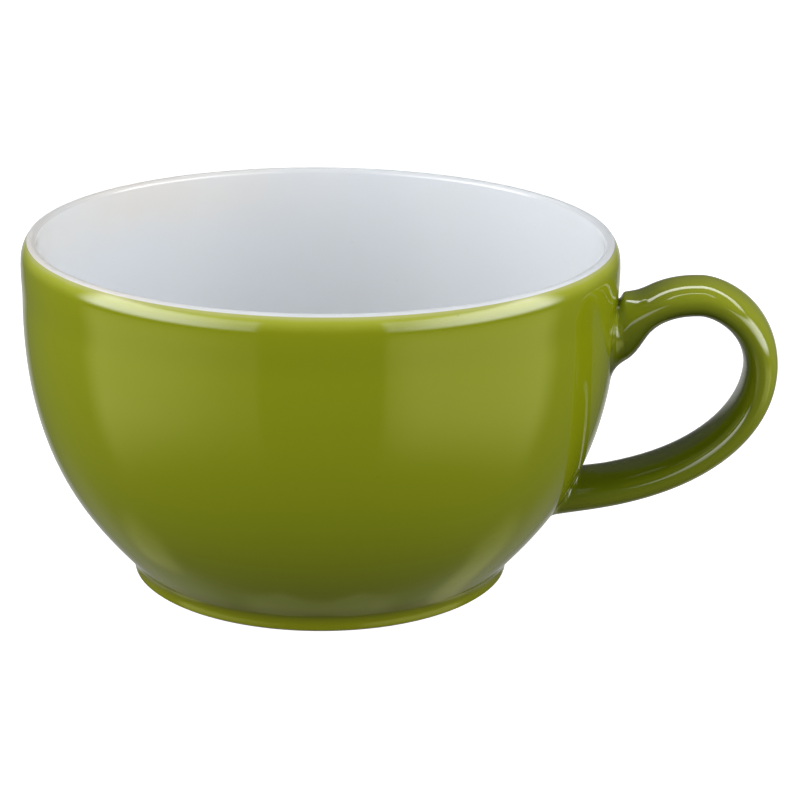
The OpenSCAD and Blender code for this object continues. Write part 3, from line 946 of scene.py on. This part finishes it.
class CUP_OT_stage(bpy.types.Operator):
    """Set the plain pale floor, the soft studio light and the camera"""

    bl_idname = "cup.stage"
    bl_label = "Stage"

    FLOOR_HALF = 3.0
    FLOOR_TONES = ((0.5, 0.5, 0.5, 1), (0.52, 0.52, 0.52, 1))
    FLOOR_ROUGH = 0.9
    FLOOR_MIRROR = 0.1
    SENSOR_W = 36
    CLIP_START = 0.01

    # Where the even light turns from below to above, as the height of a direction
    HORIZON = (-0.15, 0.2)

    # Keeps a division finite for directions that point nearly straight up or down
    LEVEL_LEAST = 0.01

    # What the glaze mirrors, by how much a direction points away from the camera, to the right and up.
    # Four values: where a light starts, is full, starts to fade and ends. Two: where it starts and is full.
    # LEFT_SCREEN and LEFT_STRIPE: both ends of a ramp, and how bright it is at each.
    BEFORE_CUP = (-0.93, -0.9, 0, 0.25)
    LEFT_SCREEN = (-0.95, -0.4, 1, 0.3)
    RIGHT_SCREEN = (0.2, 0.95)
    RIGHT_GROUND = (0.2, 0.6)
    SCREEN_RISE = (-0.07, 0.12, 0.48, 0.62)
    GROUND_RISE = (-0.67, -0.37, -0.26, -0.1)
    GROUND_TINT = (1, 1, 0.4)
    BACKDROP = (0.88, 0.97)
    BACKDROP_RISE = (-0.6, -0.35, -0.2, 0.08)
    FLOOR_BEHIND = (0.5, 0.95)
    FLOOR_RISE = (-1, -0.8, -0.64, -0.4)
    FLOOR_TINT = (1, 1, 0.7)
    STRIPE_BEHIND = (0.3, 0.6)
    LEFT_STRIPE = (-0.42, -0.34, 1, 0)
    RIGHT_STRIPE = (0.2, 0.35)
    STRIPE_RISE = (-0.84, -0.78, -0.73, -0.66)
    STRIPE_TINT = (1, 1, 0.35)
    LINE_BEHIND = (0.75, 0.88)
    LINE_RISE = (-0.98, -0.965, -0.93, -0.88)
    LINE_TINT = (1, 1, 0.6)
    STRIPS_BEHIND = (0, 0.4)
    LOWER_STRIP_RISE = (0.585, 0.61, 0.70, 0.725)
    UPPER_STRIP_RISE = (0.922, 0.932, 0.945, 0.955)
    WHITE = (1, 1, 1)

    def execute(self, context):
        stage = settings()[3]
        self.set_camera(context, stage)
        self.lay_floor(context, stage)
        self.set_lights(context, stage)
        self.set_sky(context, stage)
        context.scene.view_settings.view_transform = "Standard"
        return {"FINISHED"}

    def set_camera(self, context, stage):
        """The camera that takes the cup as the reference shows it."""
        yaw, pitch, roll = stage.camera_yaw, stage.camera_pitch, stage.camera_roll
        ahead = Vector((math.sin(yaw) * math.cos(pitch), math.cos(yaw) * math.cos(pitch), -math.sin(pitch)))
        level = Vector((math.cos(yaw), -math.sin(yaw), 0))
        upright = level.cross(ahead)
        right = math.cos(roll) * level + math.sin(roll) * upright
        up = -math.sin(roll) * level + math.cos(roll) * upright
        basis = Matrix((right, up, -ahead)).transposed().to_4x4()
        place = Matrix.Translation((0, -stage.camera_distance, stage.camera_height)) @ basis
        data = bpy.data.cameras.new("view")
        data.lens = stage.lens
        data.sensor_width = self.SENSOR_W
        data.clip_start = self.CLIP_START
        camera = bpy.data.objects.new("view", data)
        camera.matrix_world = Matrix.Rotation(stage.camera_turn, 4, "Z") @ place
        context.scene.collection.objects.link(camera)
        context.scene.camera = camera

    def lay_floor(self, context, stage):
        """A large pale floor, lit evenly, that shows no mirror image in the glaze."""
        material, tree, shader = new_material("pale_floor")
        feed(tree, shader, {
            "Base Color": mix_colour(tree, surface_noise(tree, FLOOR_SCALE), *self.FLOOR_TONES),
            "Roughness": self.FLOOR_ROUGH,
            "Specular IOR Level": self.FLOOR_MIRROR,
            "Emission Color": rgba(self.WHITE),
            "Emission Strength": stage.floor_light,
        })
        half = self.FLOOR_HALF
        mesh = bpy.data.meshes.new("floor")
        corners = [(-half, -half, 0), (half, -half, 0), (half, half, 0), (-half, half, 0)]
        mesh.from_pydata(corners, [], [(0, 1, 2, 3)])
        mesh.materials.append(material)
        floor = bpy.data.objects.new("floor", mesh)
        floor.visible_glossy = False
        floor.visible_diffuse = False
        context.scene.collection.objects.link(floor)

    def set_lights(self, context, stage):
        """Two broad soft boxes, left and right of the camera."""
        boxes = (
            ("left_box", -stage.left_box_turn, stage.left_box_width),
            ("right_box", stage.right_box_turn, stage.right_box_width),
        )
        for name, turn, width in boxes:
            data = bpy.data.lights.new(name, "AREA")
            data.shape = "RECTANGLE"
            data.size = width
            data.size_y = stage.box_height
            data.energy = stage.box_power * width / stage.left_box_width
            lamp = bpy.data.objects.new(name, data)
            lamp.visible_glossy = False
            level = stage.box_distance * math.cos(stage.box_rise)
            height = stage.box_distance * math.sin(stage.box_rise)
            way = turn + stage.camera_turn
            place = Vector((level * math.sin(way), -level * math.cos(way), height))
            facing = place.to_track_quat("Z", "Y").to_matrix().to_4x4()
            lamp.matrix_world = Matrix.Translation(place) @ facing
            context.scene.collection.objects.link(lamp)

    def set_sky(self, context, stage):
        """White behind the cup, soft light from above, and a dim surrounding for its mirror images."""
        world = bpy.data.worlds.new("studio")
        context.scene.world = world
        world.use_nodes = True
        tree = world.node_tree
        way = node(tree, "ShaderNodeTexCoord").outputs["Generated"]
        split = node(tree, "ShaderNodeSeparateXYZ", {0: way})
        backdrop = tree.nodes["Background"]
        feed(tree, backdrop, {"Color": rgba(self.WHITE), "Strength": 1.0})
        above = ramp(tree, split.outputs["Z"], *self.HORIZON, stage.ground, stage.sky)
        even = node(tree, "ShaderNodeBackground", {"Strength": above}).outputs[0]
        mirrored = self.mirrored_surroundings(tree, split, stage)
        rays = node(tree, "ShaderNodeLightPath").outputs
        unseen = node(tree, "ShaderNodeMixShader", {0: rays["Is Glossy Ray"], 1: even, 2: mirrored})
        seen = {0: rays["Is Camera Ray"], 1: unseen.outputs[0], 2: backdrop.outputs[0]}
        whole = node(tree, "ShaderNodeMixShader", seen)
        feed(tree, tree.nodes["World Output"], {0: whole.outputs[0]})

    def mirrored_surroundings(self, tree, split, stage):
        """What the glaze mirrors: a dim room with bright screens, a backdrop, the ground and two strips."""
        x, y, z = split.outputs
        turn = stage.camera_turn
        level = math_node(tree, "SQRT", math_node(tree, "SUBTRACT", 1.0, times(tree, z, z)))
        level = math_node(tree, "MAXIMUM", level, self.LEVEL_LEAST)
        ahead = math_node(tree, "DIVIDE", self.along(tree, x, -math.sin(turn), y, math.cos(turn)), level)
        beside = self.along(tree, x, math.cos(turn), y, math.sin(turn))
        before_cup = self.window(tree, ahead, *self.BEFORE_CUP)
        left = ramp(tree, beside, *self.LEFT_SCREEN)
        screens = math_node(tree, "MAXIMUM", left, ramp(tree, beside, *self.RIGHT_SCREEN))
        ground = math_node(tree, "MAXIMUM", left, ramp(tree, beside, *self.RIGHT_GROUND))
        stripes = math_node(tree, "MAXIMUM", ramp(tree, beside, *self.LEFT_STRIPE),
                            ramp(tree, beside, *self.RIGHT_STRIPE))
        stripes_behind = ramp(tree, ahead, *self.STRIPE_BEHIND)
        backdrop = ramp(tree, ahead, *self.BACKDROP)
        floor = ramp(tree, ahead, *self.FLOOR_BEHIND)
        line = ramp(tree, ahead, *self.LINE_BEHIND)
        strips = ramp(tree, ahead, *self.STRIPS_BEHIND)
        lights = (
            (times(tree, before_cup, screens), self.SCREEN_RISE, self.WHITE, stage.screen_glow),
            (times(tree, before_cup, ground), self.GROUND_RISE, self.GROUND_TINT, stage.ground_glow),
            (backdrop, self.BACKDROP_RISE, self.WHITE, stage.backdrop_glow),
            (floor, self.FLOOR_RISE, self.FLOOR_TINT, stage.floor_glow),
            (times(tree, stripes_behind, stripes), self.STRIPE_RISE, self.STRIPE_TINT, stage.stripe_glow),
            (line, self.LINE_RISE, self.LINE_TINT, stage.line_glow),
            (strips, self.LOWER_STRIP_RISE, self.WHITE, stage.strip_glow),
            (strips, self.UPPER_STRIP_RISE, self.WHITE, stage.strip_glow),
        )
        total = node(tree, "ShaderNodeBackground", {"Strength": stage.dim}).outputs[0]
        for way, rise, tint, glow in lights:
            strength = times(tree, times(tree, way, self.window(tree, z, *rise)), glow)
            light = node(tree, "ShaderNodeBackground", {"Color": rgba(tint), "Strength": strength})
            total = node(tree, "ShaderNodeAddShader", {0: total, 1: light.outputs[0]}).outputs[0]
        return total

    def along(self, tree, x, x_share, y, y_share):
        """How far a direction points along a level one, which is given by its two shares."""
        return plus(tree, times(tree, x, x_share), times(tree, y, y_share))

    def window(self, tree, value, start, full, fading, end):
        """Rises between the first two values and falls between the last two."""
        rise = ramp(tree, value, start, full)
        return times(tree, rise, ramp(tree, value, fading, end, 1, 0))


class CUP_PT_panel(bpy.types.Panel):
    """Lists the cup's pieces, sizes and colours"""

    bl_idname = "CUP_PT_panel"
    bl_label = "Cappuccino cup"
    bl_space_type = "VIEW_3D"
    bl_region_type = "UI"
    bl_category = "Cup"

    def draw(self, context):
        for step in STEPS:
            self.layout.operator(step.bl_idname)
        for group in settings():
            box = self.layout.box()
            for name in group.__annotations__:
                box.prop(group, name)


STEPS = (
    CUP_OT_stage,
    CUP_OT_clay,
    CUP_OT_foot,
    CUP_OT_green_coat,
    CUP_OT_handle_coat,
    CUP_OT_white_liner,
    CUP_OT_base_coat,
)
GROUPS = {
    "cup_bowl": BowlSizes,
    "cup_handle": HandleSizes,
    "cup_looks": GlazeLooks,
    "cup_stage": StageSettings,
}


def register():
    for kind in (*GROUPS.values(), *STEPS, CUP_PT_panel):
        bpy.utils.register_class(kind)
    for name, kind in GROUPS.items():
        setattr(bpy.types.Scene, name, bpy.props.PointerProperty(type=kind))


def unregister():
    for name in GROUPS:
        delattr(bpy.types.Scene, name)
    for kind in (CUP_PT_panel, *reversed(STEPS), *reversed(list(GROUPS.values()))):
        bpy.utils.unregister_class(kind)


def main():
    """Register the add-on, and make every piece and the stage."""
    register()
    for step in STEPS:
        family, name = step.bl_idname.split(".")
        getattr(getattr(bpy.ops, family), name)()


if __name__ == "__main__":
    main()
